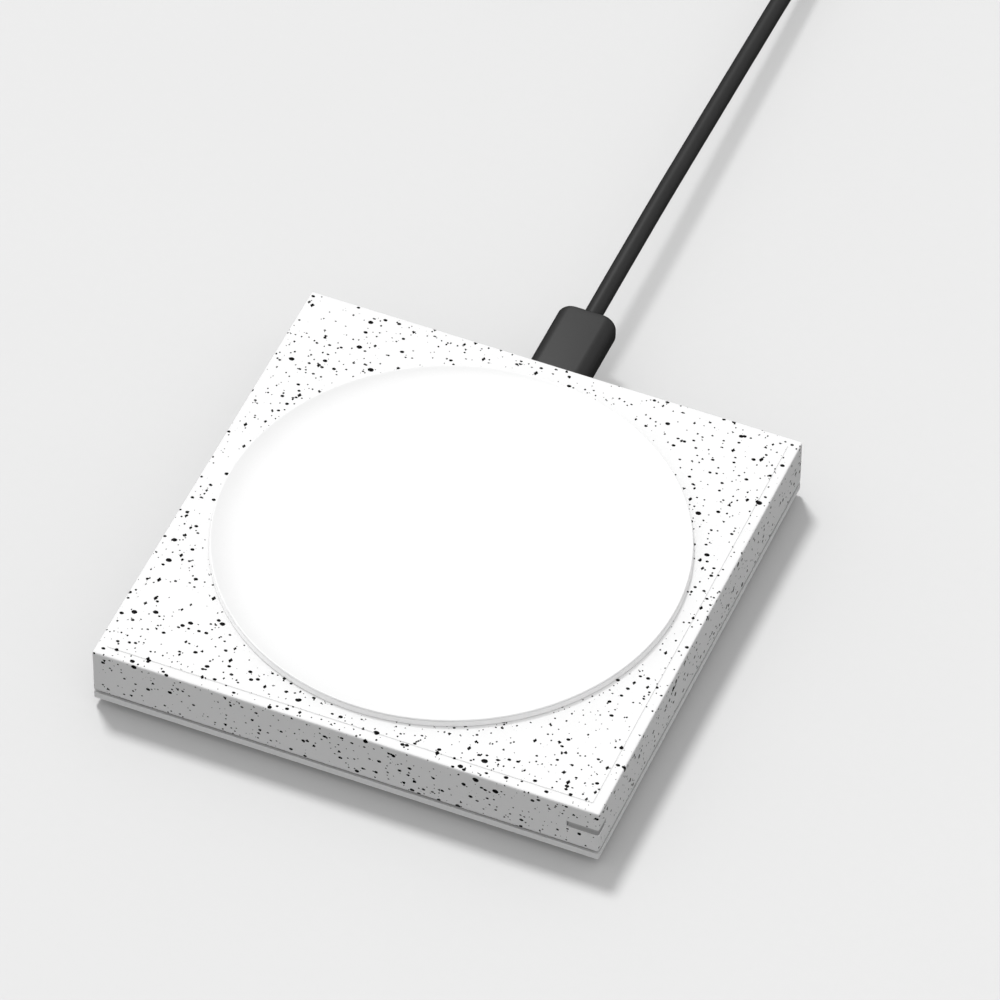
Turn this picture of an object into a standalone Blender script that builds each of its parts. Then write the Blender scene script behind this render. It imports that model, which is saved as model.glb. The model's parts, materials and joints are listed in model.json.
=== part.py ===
"""A square wireless charging pad with a round silicone disc, its inner parts, and its plug-in cord."""

import math

import bmesh
import bpy
import numpy as np
from mathutils import Matrix, Vector

mm = 0.001

# Fits
clearance = 0.3 * mm
bond_gap = 0.12 * mm

# Case
pad_side = 100.0 * mm
edge_round = 0.35 * mm
foot_stand = 1.8 * mm
base_band = 1.45 * mm
parting_gap = 0.45 * mm
housing_height = 10.4 * mm
wall = 2.0 * mm
ceiling = 1.5 * mm
plateau_inset = 2.15 * mm
plateau_rise = 0.2 * mm
lip_height = 1.5 * mm
lip_wall = 1.4 * mm

# Silicone disc
disc_diameter = 89.5 * mm
disc_height = 1.45 * mm
disc_draft = 0.15 * mm
disc_edge_round = 0.3 * mm
dish_thickness = 0.35 * mm
dish_width = 8.0 * mm
dish_power = 3
adhesive_thickness = 0.12 * mm
adhesive_margin = 1.0 * mm

# Screws, bosses and feet
boss_inset = 12.0 * mm
boss_diameter = 6.4 * mm
screw_diameter = 1.8 * mm
screw_head_diameter = 3.6 * mm
screw_head_height = 1.0 * mm
screw_head_depth = 1.0 * mm
screw_bite = 2.6 * mm
driver_width = 1.8 * mm
driver_depth = 0.5 * mm
screw_fit = 0.2 * mm
foot_diameter = 12.0 * mm
foot_recess = 0.5 * mm
foot_edge = 0.4 * mm

# Port, socket and plug nose
port_drop = 4.0 * mm
socket_width = 8.94 * mm
socket_height = 3.16 * mm
socket_wall = 0.3 * mm
socket_depth = 7.3 * mm
socket_setback = 0.5 * mm
tongue_width = 6.6 * mm
tongue_thickness = 0.7 * mm
tongue_length = 4.4 * mm
plug_fit = 0.12 * mm
plug_nose_wall = 0.3 * mm
plug_nose_length = 6.5 * mm

# Plug overmould
plug_width = 11.8 * mm
plug_height = 6.4 * mm
plug_length = 16.5 * mm
plug_rear_round = 1.8 * mm

# Board and its components
board_thickness = 1.0 * mm
board_wall_gap = 3.8 * mm
chip_height = 0.9 * mm
chip_row = 7.0 * mm
controller_size = 7.0 * mm
power_chip_size = 5.0 * mm
inductor_size = 6.5 * mm
inductor_height = 2.6 * mm
capacitor_width = 2.5 * mm
capacitor_length = 3.2 * mm
capacitor_height = 1.6 * mm
capacitor_step = 4.0 * mm
capacitor_count = 4
component_gap = 2.0 * mm
component_edge = 0.1 * mm
inductor_edge = 0.5 * mm

# Status light
slot_height = 1.6 * mm
slot_front_length = 6.3 * mm
slot_side_length = 3.5 * mm
slot_round = 0.5 * mm
slot_backing = 1.6 * mm
window_setback = 0.1 * mm
pipe_height = 0.7 * mm
pipe_width = 3.0 * mm
pipe_overlap = 2.6 * mm
led_length = 1.6 * mm
led_depth = 1.2 * mm
led_height = 0.8 * mm

# Charging coil
wire_diameter = 1.0 * mm
coil_outer_radius = 22.0 * mm
coil_turn_pitch = 1.85 * mm
coil_turns_each_layer = 6
coil_layer_pitch = 1.45 * mm
coil_dip = 0.5 * mm
ferrite_diameter = 50.0 * mm
ferrite_thickness = 0.6 * mm
carrier_floor = 0.5 * mm
carrier_rim = 1.2 * mm
thermistor_diameter = 2.4 * mm
thermistor_height = 1.2 * mm
lead_drop_run = 3.0 * mm

# Cord
cord_diameter = 3.5 * mm
cord_turn_pitch = 4.0 * mm
cord_turns_each_layer = 3
cord_layer_pitch = 4.0 * mm
cord_coil_outer_radius = 26.0 * mm
cord_coil_reach = 230.0 * mm
cord_dip = 1.2 * mm
tail_length = 24.0 * mm
tie_width = 6.0 * mm
tie_thickness = 0.5 * mm
tie_slack = 0.5 * mm
floor_gap = 0.05 * mm

# Plug on the far end
far_plug_width = 15.6 * mm
far_plug_height = 8.0 * mm
far_plug_length = 24.0 * mm
far_plug_round = 2.4 * mm
far_shell_width = 12.0 * mm
far_shell_height = 4.5 * mm
far_shell_wall = 0.35 * mm
far_shell_length = 11.8 * mm
far_insert_thickness = 1.9 * mm
far_insert_setback = 0.5 * mm

# Counts
points_per_loop = 24
round_sides = 32
small_round_sides = 24
shank_sides = 16
wide_round_sides = 64
disc_steps = 80

# A bevel that rounds a whole end stops just short of half the height
full_round = 0.98

# Levels that several pieces share, from the surface upwards
half_side = pad_side / 2
base_top = foot_stand + base_band
housing_bottom = base_top + parting_gap
housing_top = housing_bottom + housing_height
plateau_top = housing_top + plateau_rise
ceiling_under = housing_top - ceiling
port_level = housing_top - port_drop
board_top = port_level - socket_height / 2 - bond_gap
board_under = board_top - board_thickness
board_half = half_side - wall - board_wall_gap
boss_place = half_side - boss_inset
base_boss_top = board_under - clearance
housing_boss_bottom = board_top + clearance
screw_head_top = base_top + screw_head_depth
back_face = half_side
socket_mouth = back_face - socket_setback
socket_rear = socket_mouth - socket_depth
nose_width = socket_width - 2 * socket_wall - 2 * plug_fit
nose_height = socket_height - 2 * socket_wall - 2 * plug_fit
plug_front = back_face + clearance
plug_rear = plug_front + plug_length
pipe_level = board_top + bond_gap + pipe_height / 2
cord_radius = cord_diameter / 2
coil_floor_level = floor_gap + tie_thickness + clearance + cord_radius
four_corners = [(-1, -1), (1, -1), (1, 1), (-1, 1)]

# The free stretch from the plug to the coil, straight back and slowly down
lead_drops = [
    (0.0, 0.0),
    (12.0 * mm, 0.0),
    (24.0 * mm, -0.1 * mm),
    (36.0 * mm, -0.3 * mm),
    (48.0 * mm, -0.75 * mm),
    (61.0 * mm, -1.3 * mm),
    (74.0 * mm, -1.85 * mm),
    (86.0 * mm, -2.4 * mm),
    (98.0 * mm, -2.95 * mm),
    (112.0 * mm, -4.0 * mm),
    (126.0 * mm, -5.6 * mm),
    (139.0 * mm, -6.9 * mm),
]


def clear_scene():
    for old in list(bpy.data.objects):
        bpy.data.objects.remove(old, do_unlink=True)


def new_collection(name):
    made = bpy.data.collections.new(name)
    bpy.context.scene.collection.children.link(made)
    return made


def new_material(name, colour, roughness, metallic=0.0):
    made = bpy.data.materials.new(name)
    made.use_nodes = True
    shader = made.node_tree.nodes["Principled BSDF"]
    shader.inputs["Base Color"].default_value = (*colour, 1.0)
    shader.inputs["Roughness"].default_value = roughness
    shader.inputs["Metallic"].default_value = metallic
    return made


# Shapes added to a mesh that is being built

def add_box(shape, low, high):
    size = Vector(high) - Vector(low)
    middle = (Vector(high) + Vector(low)) / 2
    place = Matrix.Translation(middle) @ Matrix.Diagonal((*size, 1.0))
    return bmesh.ops.create_cube(shape, size=1.0, matrix=place)["verts"]


def add_post(shape, centre, diameter, low, high, sides=round_sides):
    place = Matrix.Translation((centre[0], centre[1], (low + high) / 2))
    bmesh.ops.create_cone(
        shape,
        cap_ends=True,
        segments=sides,
        radius1=diameter / 2,
        radius2=diameter / 2,
        depth=high - low,
        matrix=place,
    )


def add_rounded_bar(shape, low, high, axis, radius, segments=5):
    """A box whose four edges along one axis are rounded."""
    verts = add_box(shape, low, high)
    edges = {edge for vert in verts for edge in vert.link_edges}
    along = [edge for edge in edges if abs((edge.verts[0].co - edge.verts[1].co)[axis]) > 1e-6]
    bmesh.ops.bevel(
        shape, geom=along, offset=radius, segments=segments, profile=0.5, affect="EDGES"
    )


def add_soft_box(shape, low, high, radius, segments=3):
    """A box with every edge rounded."""
    verts = add_box(shape, low, high)
    edges = list({edge for vert in verts for edge in vert.link_edges})
    bmesh.ops.bevel(
        shape, geom=edges, offset=radius, segments=segments, profile=0.5, affect="EDGES"
    )


# Objects

def finish_object(made, collection, material):
    collection.objects.link(made)
    made.data.materials.append(material)
    return made


def mesh_object(name, shape, collection, material, smooth=True):
    mesh = bpy.data.meshes.new(name)
    bmesh.ops.recalc_face_normals(shape, faces=shape.faces)
    shape.to_mesh(mesh)
    shape.free()
    if smooth:
        mesh.shade_smooth()
        mesh.set_sharp_from_angle(angle=math.radians(35))
    return finish_object(bpy.data.objects.new(name, mesh), collection, material)


def helper_object(name, shape, helpers):
    made = mesh_object(name, shape, helpers, steel, smooth=False)
    made.hide_render = True
    made.display_type = "WIRE"
    return made


def combine(target, helper, operation):
    modifier = target.modifiers.new(helper.name, "BOOLEAN")
    modifier.operation = operation
    modifier.solver = "EXACT"
    modifier.object = helper
    return target


def tube_object(name, points, diameter, resolution, collection, material):
    curve = bpy.data.curves.new(name, "CURVE")
    curve.dimensions = "3D"
    curve.bevel_depth = diameter / 2
    curve.bevel_resolution = resolution
    curve.use_fill_caps = True
    spline = curve.splines.new("POLY")
    spline.points.add(len(points) - 1)
    for point, place in zip(spline.points, points):
        point.co = (*place, 1.0)
    return finish_object(bpy.data.objects.new(name, curve), collection, material)


def turned_object(name, profile, steps, collection, material):
    """A profile of (radius, height), from the axis on top round to the axis below, turned about Z."""
    shape = bmesh.new()
    verts = [shape.verts.new((radius, 0.0, height)) for radius, height in profile]
    for first, second in zip(verts, verts[1:]):
        shape.edges.new((first, second))
    mesh = bpy.data.meshes.new(name)
    shape.to_mesh(mesh)
    shape.free()
    made = finish_object(bpy.data.objects.new(name, mesh), collection, material)
    screw = made.modifiers.new("turn", "SCREW")
    screw.steps = steps
    screw.render_steps = steps
    screw.use_merge_vertices = True
    screw.merge_threshold = 0.00001
    screw.use_smooth_shade = True
    return made


# Paths

def smooth_path(points, step):
    """Points about a step apart on a smooth curve through the given points."""
    given = np.array(points, float)
    padded = np.vstack([2 * given[0] - given[1], given, 2 * given[-1] - given[-2]])
    dense = []
    for before, here, after, beyond in zip(padded, padded[1:], padded[2:], padded[3:]):
        for t in np.arange(0.0, 1.0, 0.05):
            dense.append(
                0.5 * (2 * here + (after - before) * t
                       + (2 * before - 5 * here + 4 * after - beyond) * t ** 2
                       + (3 * here - before - 3 * after + beyond) * t ** 3)
            )
    dense = np.array(dense + [given[-1]])
    run = np.concatenate([[0.0], np.cumsum(np.linalg.norm(np.diff(dense, axis=0), axis=1))])
    wanted = np.linspace(0.0, run[-1], max(3, round(run[-1] / step) + 1))
    return np.column_stack([np.interp(wanted, run, dense[:, axis]) for axis in range(3)])


def wound_path(centre, outer_radius, turn_pitch, turns, layer_pitch, dip, first_angle, way, end_run):
    """A winding that spirals in on the lower layer, climbs in half a turn, and spirals out above it."""
    count = round((2 * turns + 0.5) * points_per_loop)
    turn = np.arange(count + 1) / points_per_loop
    climb = np.clip((turn - turns) / 0.5, 0.0, 1.0)
    inward = np.minimum(turn, turns)
    outward = np.maximum(turn - turns - 0.5, 0.0)
    radius = outer_radius - turn_pitch * inward + turn_pitch * outward - dip * np.sin(math.pi * climb)
    angle = first_angle + way * 2 * math.pi * turn
    height = layer_pitch * climb ** 2 * (3 - 2 * climb)
    loops = np.column_stack([radius * np.cos(angle), radius * np.sin(angle), height]) + np.array(centre)
    heading = way * np.array([[-math.sin(a), math.cos(a), 0.0] for a in (angle[0], angle[-1])])
    return np.vstack([loops[0] - end_run * heading[0], loops, loops[-1] + end_run * heading[1]])


def least_self_gap(points, diameter):
    """The least distance between stretches of a tube that aren't neighbours, less its diameter."""
    run = np.concatenate([[0.0], np.cumsum(np.linalg.norm(np.diff(points, axis=0), axis=1))])
    along = np.linspace(0.0, run[-1], 6 * len(points))
    dense = np.column_stack([np.interp(along, run, points[:, axis]) for axis in range(3)])
    least = math.inf
    for index, here in enumerate(dense):
        later = along > along[index] + 4 * diameter
        if later.any():
            least = min(least, np.linalg.norm(dense[later] - here, axis=1).min())
    return least - diameter


def path_length(points):
    return float(np.linalg.norm(np.diff(points, axis=0), axis=1).sum())


# The case

def make_top_housing():
    shape = bmesh.new()
    add_soft_box(
        shape,
        (-half_side, -half_side, housing_bottom),
        (half_side, half_side, housing_top),
        edge_round,
        segments=2,
    )
    housing = mesh_object("top_housing", shape, parts, speckled_plastic)

    plateau_half = half_side - plateau_inset
    shape = bmesh.new()
    add_box(
        shape,
        (-plateau_half, -plateau_half, ceiling_under + ceiling / 2),
        (plateau_half, plateau_half, plateau_top),
    )
    combine(housing, helper_object("plateau", shape, helpers), "UNION")

    inside = half_side - wall
    shape = bmesh.new()
    add_box(shape, (-inside, -inside, foot_stand), (inside, inside, ceiling_under))
    combine(housing, helper_object("inside_space", shape, helpers), "DIFFERENCE")

    # Screw bosses hang from the ceiling, and a block backs the corner slot
    shape = bmesh.new()
    for x, y in four_corners:
        centre = (x * boss_place, y * boss_place)
        add_post(shape, centre, boss_diameter, housing_boss_bottom, ceiling_under + ceiling / 2)
    block_front = half_side - slot_side_length - slot_backing
    block_left = half_side - slot_front_length - slot_backing
    add_box(
        shape,
        (block_left, -half_side + wall / 2, pipe_level - slot_height / 2 - slot_backing),
        (half_side - wall / 2, -block_front, ceiling_under + ceiling / 2),
    )
    combine(housing, helper_object("housing_bosses", shape, helpers), "UNION")

    shape = bmesh.new()
    hole_top = housing_boss_bottom + screw_bite + clearance
    for x, y in four_corners:
        centre = (x * boss_place, y * boss_place)
        hole = screw_diameter + 2 * screw_fit
        add_post(shape, centre, hole, board_under, hole_top, small_round_sides)
    combine(housing, helper_object("housing_screw_holes", shape, helpers), "DIFFERENCE")

    shape = bmesh.new()
    cut_half_width = socket_width / 2 + clearance
    cut_half_height = socket_height / 2 + clearance
    add_rounded_bar(
        shape,
        (-cut_half_width, back_face - 2 * wall, port_level - cut_half_height),
        (cut_half_width, back_face + wall, port_level + cut_half_height),
        1,
        full_round * cut_half_height,
        segments=6,
    )
    combine(housing, helper_object("port_opening", shape, helpers), "DIFFERENCE")

    shape = bmesh.new()
    add_rounded_bar(
        shape,
        (half_side - slot_front_length, -half_side - wall, pipe_level - slot_height / 2),
        (half_side + wall, -half_side + slot_side_length, pipe_level + slot_height / 2),
        2,
        slot_round,
        segments=3,
    )
    combine(housing, helper_object("light_slot", shape, helpers), "DIFFERENCE")

    low, high = pipe_corners(bond_gap)
    shape = bmesh.new()
    add_box(
        shape,
        (low[0], low[1] - slot_side_length / 2, low[2]),
        (high[0], high[1], high[2]),
    )
    combine(housing, helper_object("pipe_window", shape, helpers), "DIFFERENCE")
    return housing


def make_charging_pad():
    """A dished top, a drafted edge, and a shallow hollow below that the adhesive lies in."""
    low_radius = disc_diameter / 2
    top_radius = low_radius - disc_draft
    edge_low = plateau_top + bond_gap
    hollow_top = edge_low + adhesive_thickness + bond_gap
    rim = edge_low + disc_height
    floor = hollow_top + dish_thickness
    dish_depth = rim - floor
    flat = top_radius - disc_edge_round - dish_width
    profile = [(0.0, floor), (flat, floor)]
    for share in np.linspace(0.0, 1.0, 5)[1:]:
        profile.append((flat + share * dish_width, floor + dish_depth * share ** dish_power))
    for turn in np.linspace(0.0, math.pi / 2, 4)[1:]:
        inset = disc_edge_round * (1 - math.sin(turn))
        profile.append((top_radius - inset, rim - disc_edge_round * (1 - math.cos(turn))))
    hollow_radius = low_radius - adhesive_margin + clearance
    profile += [
        (low_radius, edge_low),
        (hollow_radius, edge_low),
        (hollow_radius, hollow_top),
        (0.0, hollow_top),
    ]
    return turned_object("charging_pad", profile, disc_steps, parts, silicone)


def make_pad_adhesive():
    shape = bmesh.new()
    low = plateau_top + bond_gap
    diameter = disc_diameter - 2 * adhesive_margin
    add_post(shape, (0, 0), diameter, low, low + adhesive_thickness, wide_round_sides)
    return mesh_object("pad_adhesive", shape, parts, adhesive)


def make_base_cover():
    shape = bmesh.new()
    add_rounded_bar(
        shape,
        (-half_side, -half_side, foot_stand),
        (half_side, half_side, base_top),
        2,
        edge_round,
        segments=2,
    )
    cover = mesh_object("base_cover", shape, parts, base_plastic)

    lip_half = half_side - wall - clearance
    lip_inner = lip_half - lip_wall
    shape = bmesh.new()
    add_box(
        shape,
        (-lip_half, -lip_half, base_top - base_band / 2),
        (lip_half, lip_half, base_top + lip_height),
    )
    lip = helper_object("base_lip", shape, helpers)
    shape = bmesh.new()
    add_box(
        shape,
        (-lip_inner, -lip_inner, foot_stand - base_band),
        (lip_inner, lip_inner, base_top + 2 * lip_height),
    )
    combine(lip, helper_object("base_lip_inside", shape, helpers), "DIFFERENCE")
    combine(cover, lip, "UNION")

    shape = bmesh.new()
    for x, y in four_corners:
        centre = (x * boss_place, y * boss_place)
        add_post(shape, centre, boss_diameter, base_top - base_band / 2, base_boss_top)
    combine(cover, helper_object("base_bosses", shape, helpers), "UNION")

    shape = bmesh.new()
    for x, y in four_corners:
        centre = (x * boss_place, y * boss_place)
        hole = screw_diameter + 2 * screw_fit
        add_post(shape, centre, hole, foot_stand, board_top, small_round_sides)
    combine(cover, helper_object("base_screw_holes", shape, helpers), "DIFFERENCE")

    shape = bmesh.new()
    for x, y in four_corners:
        centre = (x * boss_place, y * boss_place)
        sink = screw_head_diameter + 2 * screw_fit
        add_post(shape, centre, sink, foot_stand, screw_head_top + screw_fit, small_round_sides)
    combine(cover, helper_object("screw_head_sinks", shape, helpers), "DIFFERENCE")

    shape = bmesh.new()
    for x, y in four_corners:
        centre = (x * boss_place, y * boss_place)
        recess = foot_diameter + 2 * screw_fit
        add_post(shape, centre, recess, foot_stand - base_band, foot_stand + foot_recess)
    combine(cover, helper_object("foot_recesses", shape, helpers), "DIFFERENCE")
    return cover


def make_feet_and_screws():
    foot_top = foot_stand + foot_recess - bond_gap
    head_low = screw_head_top - screw_head_height
    for number, (x, y) in enumerate(four_corners, 1):
        centre = (x * boss_place, y * boss_place)
        half = foot_diameter / 2
        profile = [
            (0.0, foot_top),
            (half, foot_top),
            (half, foot_edge),
            (half - foot_edge, 0.0),
            (0.0, 0.0),
        ]
        foot = turned_object(f"rubber_foot_{number}", profile, round_sides, parts, rubber)
        foot.location = (*centre, 0.0)

        shape = bmesh.new()
        add_post(shape, centre, screw_head_diameter, head_low, screw_head_top, small_round_sides)
        screw = mesh_object(f"case_screw_{number}", shape, parts, steel)
        shape = bmesh.new()
        shank_top = housing_boss_bottom + screw_bite
        shank_low = screw_head_top - screw_head_height / 2
        add_post(shape, centre, screw_diameter, shank_low, shank_top, shank_sides)
        combine(screw, helper_object(f"screw_shank_{number}", shape, helpers), "UNION")
        blade = driver_width / 8
        for arm, (wide, deep, sink) in enumerate(
            ((driver_width / 2, blade, driver_depth), (blade, driver_width / 2, 0.9 * driver_depth)), 1
        ):
            shape = bmesh.new()
            add_box(
                shape,
                (centre[0] - wide, centre[1] - deep, head_low - driver_depth),
                (centre[0] + wide, centre[1] + deep, head_low + sink),
            )
            combine(screw, helper_object(f"driver_slot_{number}_{arm}", shape, helpers), "DIFFERENCE")


# The board and what is on it

def make_circuit_board():
    shape = bmesh.new()
    add_box(shape, (-board_half, -board_half, board_under), (board_half, board_half, board_top))
    board = mesh_object("circuit_board", shape, parts, board_green, smooth=False)
    shape = bmesh.new()
    for x, y in four_corners:
        centre = (x * boss_place, y * boss_place)
        hole = screw_diameter + 2 * screw_fit
        add_post(shape, centre, hole, board_under - wall, board_top + wall, small_round_sides)
    return combine(board, helper_object("board_holes", shape, helpers), "DIFFERENCE")


def make_socket():
    half_width = socket_width / 2
    half_height = socket_height / 2
    shape = bmesh.new()
    add_rounded_bar(
        shape,
        (-half_width, socket_rear, port_level - half_height),
        (half_width, socket_mouth, port_level + half_height),
        1,
        full_round * half_height,
    )
    shell = mesh_object("usb_socket_shell", shape, parts, steel)
    inner_width = half_width - socket_wall
    inner_height = half_height - socket_wall
    shape = bmesh.new()
    add_rounded_bar(
        shape,
        (-inner_width, socket_rear + socket_wall, port_level - inner_height),
        (inner_width, socket_mouth + wall, port_level + inner_height),
        1,
        full_round * inner_height,
    )
    combine(shell, helper_object("socket_inside", shape, helpers), "DIFFERENCE")

    tongue_rear = socket_rear + socket_wall + bond_gap
    shape = bmesh.new()
    add_box(
        shape,
        (-tongue_width / 2, tongue_rear, port_level - tongue_thickness / 2),
        (tongue_width / 2, tongue_rear + tongue_length, port_level + tongue_thickness / 2),
    )
    mesh_object("usb_socket_tongue", shape, parts, black_plastic, smooth=False)


def on_board(name, x, y, width, length, height, material, round_edge=component_edge):
    """A component that lies on the board, centred at x, y."""
    low = board_top + bond_gap
    shape = bmesh.new()
    add_soft_box(
        shape,
        (x - width / 2, y - length / 2, low),
        (x + width / 2, y + length / 2, low + height),
        round_edge,
        segments=1,
    )
    return mesh_object(name, shape, parts, material, smooth=False)


def make_components():
    """A row along the board's back edge, filled inwards from the two bosses."""
    row = board_half - chip_row
    row_end = boss_place - boss_diameter / 2 - component_gap
    for number in range(capacitor_count):
        x = -row_end + capacitor_width / 2 + number * capacitor_step
        name = f"resonant_capacitor_{number + 1}"
        on_board(name, x, row, capacitor_width, capacitor_length, capacitor_height, ceramic)
    capacitors_end = -row_end + (capacitor_count - 1) * capacitor_step + capacitor_width
    x = capacitors_end + component_gap + controller_size / 2
    on_board("controller_chip", x, row, controller_size, controller_size, chip_height, black_plastic)

    x = row_end - inductor_size / 2
    on_board("filter_inductor", x, row, inductor_size, inductor_size, inductor_height, ferrite, inductor_edge)
    chips_end = row_end - inductor_size - component_gap
    for number in range(2):
        x = chips_end - power_chip_size / 2 - number * (power_chip_size + component_gap)
        name = f"power_chip_{number + 1}"
        on_board(name, x, row, power_chip_size, power_chip_size, chip_height, black_plastic)


# The status light behind the corner slot

def pipe_corners(grow=0.0):
    right = half_side - wall - clearance
    front = -half_side + slot_side_length + bond_gap
    rear = -board_half + pipe_overlap
    return (
        (right - pipe_width - grow, front - grow, pipe_level - pipe_height / 2 - grow),
        (right + grow, rear + grow, pipe_level + pipe_height / 2 + grow),
    )


def make_status_light():
    """A window that fills the corner slot, with a tongue that runs in to the light on the board."""
    half_height = slot_height / 2 - bond_gap
    shape = bmesh.new()
    add_rounded_bar(
        shape,
        (half_side - slot_front_length + bond_gap, -half_side + window_setback, pipe_level - half_height),
        (half_side - window_setback, -half_side + slot_side_length - bond_gap, pipe_level + half_height),
        2,
        edge_round,
        segments=3,
    )
    pipe = mesh_object("light_pipe", shape, parts, smoked_plastic)
    low, high = pipe_corners()
    shape = bmesh.new()
    add_box(shape, (low[0], low[1] - slot_side_length / 2, low[2]), high)
    combine(pipe, helper_object("light_tongue", shape, helpers), "UNION")
    on_board(
        "status_led",
        low[0] - bond_gap - led_depth / 2,
        high[1] - led_length / 2,
        led_depth,
        led_length,
        led_height,
        ceramic,
    )


# The charging coil, from the board upwards

def make_charging_coil():
    carrier_low = board_top + bond_gap
    carrier_top = carrier_low + carrier_floor
    ferrite_low = carrier_top + bond_gap
    ferrite_top = ferrite_low + ferrite_thickness
    wire_level = ferrite_top + bond_gap + wire_diameter / 2

    carrier_radius = ferrite_diameter / 2 + clearance + carrier_rim
    hollow_radius = ferrite_diameter / 2 + clearance
    profile = [
        (0.0, carrier_top),
        (hollow_radius, carrier_top),
        (hollow_radius, ferrite_top - bond_gap),
        (carrier_radius, ferrite_top - bond_gap),
        (carrier_radius, carrier_low),
        (0.0, carrier_low),
    ]
    turned_object("coil_carrier", profile, wide_round_sides, parts, base_plastic)

    shape = bmesh.new()
    add_post(shape, (0, 0), ferrite_diameter, ferrite_low, ferrite_top, wide_round_sides)
    mesh_object("ferrite_shield", shape, parts, ferrite)

    print("charging coil")
    path = wound_path(
        (0.0, 0.0, wire_level),
        coil_outer_radius,
        coil_turn_pitch,
        coil_turns_each_layer,
        coil_layer_pitch,
        coil_dip,
        0.0,
        -1,
        wire_diameter,
    )
    print("  least gap", round(least_self_gap(path, wire_diameter) / mm, 2), "mm")
    tube_object("charging_coil", path, wire_diameter, 1, parts, copper)

    # Each end of the winding runs straight back, past the carrier's rim and down to the board
    board_level = board_top + bond_gap + wire_diameter / 2
    wire_inside = coil_outer_radius - wire_diameter / 2
    rim_end = math.sqrt(max(carrier_radius ** 2 - wire_inside ** 2, 0.0)) + clearance
    drop_end = rim_end + lead_drop_run
    for number, end in enumerate((path[0], path[-1]), 1):
        start = Vector(end) + Vector((0.0, clearance, 0.0))
        route = [
            start,
            (start.x, start.y + wire_diameter, start.z),
            (start.x, rim_end, start.z),
            (start.x, rim_end + lead_drop_run / 2, (start.z + board_level) / 2),
            (start.x, drop_end, board_level),
            (start.x, drop_end + wire_diameter, board_level),
        ]
        points = smooth_path([tuple(point) for point in route], 3 * wire_diameter)
        tube_object(f"coil_lead_{number}", points, wire_diameter, 1, parts, copper)

    shape = bmesh.new()
    low = ferrite_top + bond_gap
    add_post(shape, (0, 0), thermistor_diameter, low, low + thermistor_height, small_round_sides)
    mesh_object("thermistor", shape, parts, black_plastic)


# The plug, the cord and the plug on its far end

def make_plug():
    shape = bmesh.new()
    add_rounded_bar(
        shape,
        (-plug_width / 2, plug_front, port_level - plug_height / 2),
        (plug_width / 2, plug_rear, port_level + plug_height / 2),
        1,
        full_round * plug_height / 2,
    )
    body = mesh_object("plug_body", shape, parts, cord_black)

    # Seen from above, the two rear corners are rounded too
    shape = bmesh.new()
    add_rounded_bar(
        shape,
        (-plug_width / 2, plug_front - plug_length, port_level - plug_height),
        (plug_width / 2, plug_rear, port_level + plug_height),
        2,
        plug_rear_round,
    )
    combine(body, helper_object("plug_plan", shape, helpers), "INTERSECT")

    nose_rear = plug_front - bond_gap
    shape = bmesh.new()
    add_rounded_bar(
        shape,
        (-nose_width / 2, nose_rear - plug_nose_length, port_level - nose_height / 2),
        (nose_width / 2, nose_rear, port_level + nose_height / 2),
        1,
        full_round * nose_height / 2,
    )
    nose = mesh_object("plug_shell", shape, parts, steel)
    shape = bmesh.new()
    inner_width = nose_width / 2 - plug_nose_wall
    inner_height = nose_height / 2 - plug_nose_wall
    add_rounded_bar(
        shape,
        (-inner_width, nose_rear - plug_nose_length - wall, port_level - inner_height),
        (inner_width, nose_rear - plug_nose_wall, port_level + inner_height),
        1,
        full_round * inner_height,
    )
    combine(nose, helper_object("nose_inside", shape, helpers), "DIFFERENCE")
    return [body, nose]


def make_cord():
    print("cord")
    lead_start = plug_rear + clearance
    route = [(0.0, lead_start + run, port_level + drop) for run, drop in lead_drops]
    lead_end = cord_coil_reach - cord_diameter - clearance
    route.append((0.0, lead_end - cord_diameter, coil_floor_level))
    route.append((0.0, lead_end, coil_floor_level))
    lead_path = smooth_path(route, 2.4 * cord_diameter)
    lead = tube_object("cord_lead", lead_path, cord_diameter, 2, parts, cord_black)

    coil_path = wound_path(
        (-cord_coil_outer_radius, cord_coil_reach, coil_floor_level),
        cord_coil_outer_radius,
        cord_turn_pitch,
        cord_turns_each_layer,
        cord_layer_pitch,
        cord_dip,
        0.0,
        1,
        cord_diameter,
    )
    print("  least gap", round(least_self_gap(coil_path, cord_diameter) / mm, 2), "mm")
    coil = tube_object("cord_coil", coil_path, cord_diameter, 1, parts, cord_black)

    tail_start = Vector(coil_path[-1]) - Vector((0.0, clearance, 0.0))
    far_level = floor_gap + far_plug_height / 2
    tail_end = tail_start.y - tail_length
    middle = (tail_start.z + far_level) / 2
    tail_path = smooth_path(
        [
            tuple(tail_start),
            (tail_start.x, tail_start.y - cord_diameter, tail_start.z),
            (tail_start.x, tail_start.y - tail_length / 2, middle),
            (tail_start.x, tail_end + cord_diameter, far_level),
            (tail_start.x, tail_end, far_level),
        ],
        1.2 * cord_diameter,
    )
    tail = tube_object("cord_tail", tail_path, cord_diameter, 2, parts, cord_black)
    total = sum(map(path_length, (lead_path, coil_path, tail_path))) + 2 * clearance
    print("  whole length", round(total / mm, 1), "mm")
    far_plug = make_far_plug(tail_start.x, tail_end - clearance, far_level)
    return [lead, coil, tail, make_tie(), *far_plug]


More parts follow.
